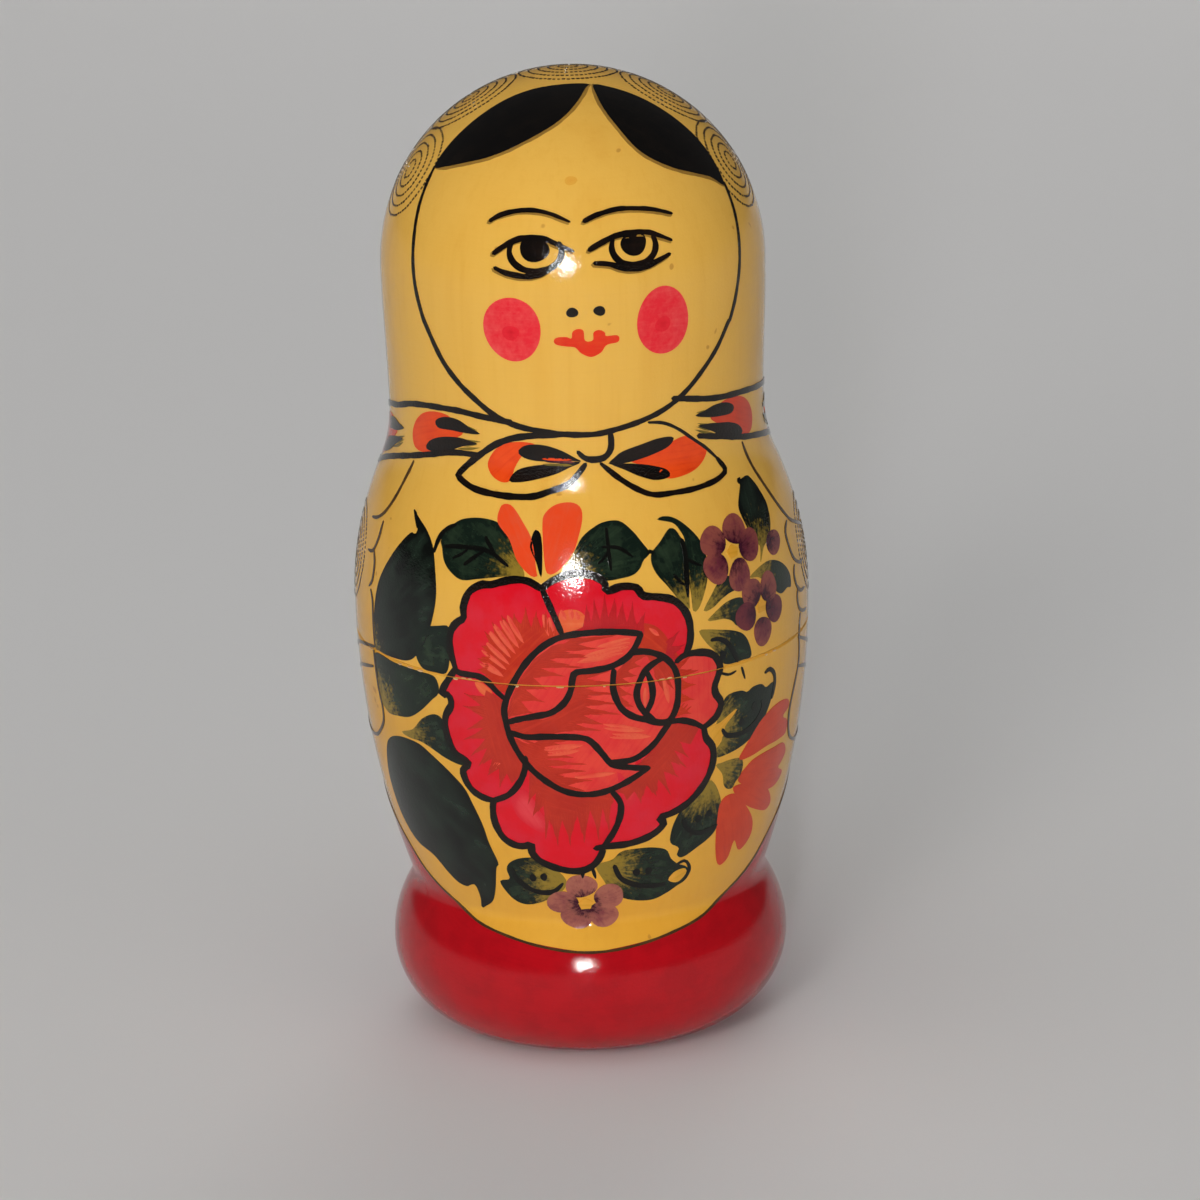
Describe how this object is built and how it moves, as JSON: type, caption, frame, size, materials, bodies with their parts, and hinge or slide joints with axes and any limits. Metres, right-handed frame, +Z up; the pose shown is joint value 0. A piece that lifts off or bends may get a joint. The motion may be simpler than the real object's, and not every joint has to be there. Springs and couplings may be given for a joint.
{
  "type": "matryoshka nesting doll",
  "caption": "Turned and painted wooden nesting doll: hollow dolls in two halves, each holding the next smaller one, around a small solid doll.",
  "frame": {"origin": "centre of the flat underside of the largest doll's foot, on the surface it stands on", "axes": "+Z up along the turning axis, -Y towards the painted face"},
  "size_m": [0.077, 0.077, 0.165],
  "materials": {
    "yellow_lacquer": "gloss lacquer over yellow stain",
    "red_lacquer": "gloss lacquer over red stain"
  },
  "bodies": {
    "doll_1_bottom": {"doll_1_bottom": "red_lacquer"},
    "doll_2_bottom": {"doll_2_bottom": "red_lacquer"},
    "doll_3_bottom": {"doll_3_bottom": "red_lacquer"},
    "doll_4_bottom": {"doll_4_bottom": "red_lacquer"},
    "doll_5_bottom": {"doll_5_bottom": "red_lacquer"},
    "doll_6_bottom": {"doll_6_bottom": "red_lacquer"},
    "doll_7": {"doll_7": "yellow_lacquer"},
    "doll_6_top": {"doll_6_top": "yellow_lacquer"},
    "doll_5_top": {"doll_5_top": "yellow_lacquer"},
    "doll_4_top": {"doll_4_top": "yellow_lacquer"},
    "doll_3_top": {"doll_3_top": "yellow_lacquer"},
    "doll_2_top": {"doll_2_top": "yellow_lacquer"},
    "doll_1_top": {"doll_1_top": "yellow_lacquer"}
  },
  "joints": [
    {"name": "doll_2_lift_out", "type": "slide", "parent": "doll_1_bottom", "child": "doll_2_bottom", "axis": [0, 0, 1], "range_m": [0, 0.061]},
    {"name": "doll_3_lift_out", "type": "slide", "parent": "doll_2_bottom", "child": "doll_3_bottom", "axis": [0, 0, 1], "range_m": [0, 0.05]},
    {"name": "doll_4_lift_out", "type": "slide", "parent": "doll_3_bottom", "child": "doll_4_bottom", "axis": [0, 0, 1], "range_m": [0, 0.041]},
    {"name": "doll_5_lift_out", "type": "slide", "parent": "doll_4_bottom", "child": "doll_5_bottom", "axis": [0, 0, 1], "range_m": [0, 0.034]},
    {"name": "doll_6_lift_out", "type": "slide", "parent": "doll_5_bottom", "child": "doll_6_bottom", "axis": [0, 0, 1], "range_m": [0, 0.028]},
    {"name": "doll_7_lift_out", "type": "slide", "parent": "doll_6_bottom", "child": "doll_7", "axis": [0, 0, 1], "range_m": [0, 0.024]},
    {"name": "doll_6_top_lift_off", "type": "slide", "parent": "doll_7", "child": "doll_6_top", "axis": [0, 0, 1], "range_m": [0, 0.033]},
    {"name": "doll_5_top_lift_off", "type": "slide", "parent": "doll_6_top", "child": "doll_5_top", "axis": [0, 0, 1], "range_m": [0, 0.04]},
    {"name": "doll_4_top_lift_off", "type": "slide", "parent": "doll_5_top", "child": "doll_4_top", "axis": [0, 0, 1], "range_m": [0, 0.049]},
    {"name": "doll_3_top_lift_off", "type": "slide", "parent": "doll_4_top", "child": "doll_3_top", "axis": [0, 0, 1], "range_m": [0, 0.06]},
    {"name": "doll_2_top_lift_off", "type": "slide", "parent": "doll_3_top", "child": "doll_2_top", "axis": [0, 0, 1], "range_m": [0, 0.075]},
    {"name": "doll_1_top_lift_off", "type": "slide", "parent": "doll_2_top", "child": "doll_1_top", "axis": [0, 0, 1], "range_m": [0, 0.093]}
  ]
}
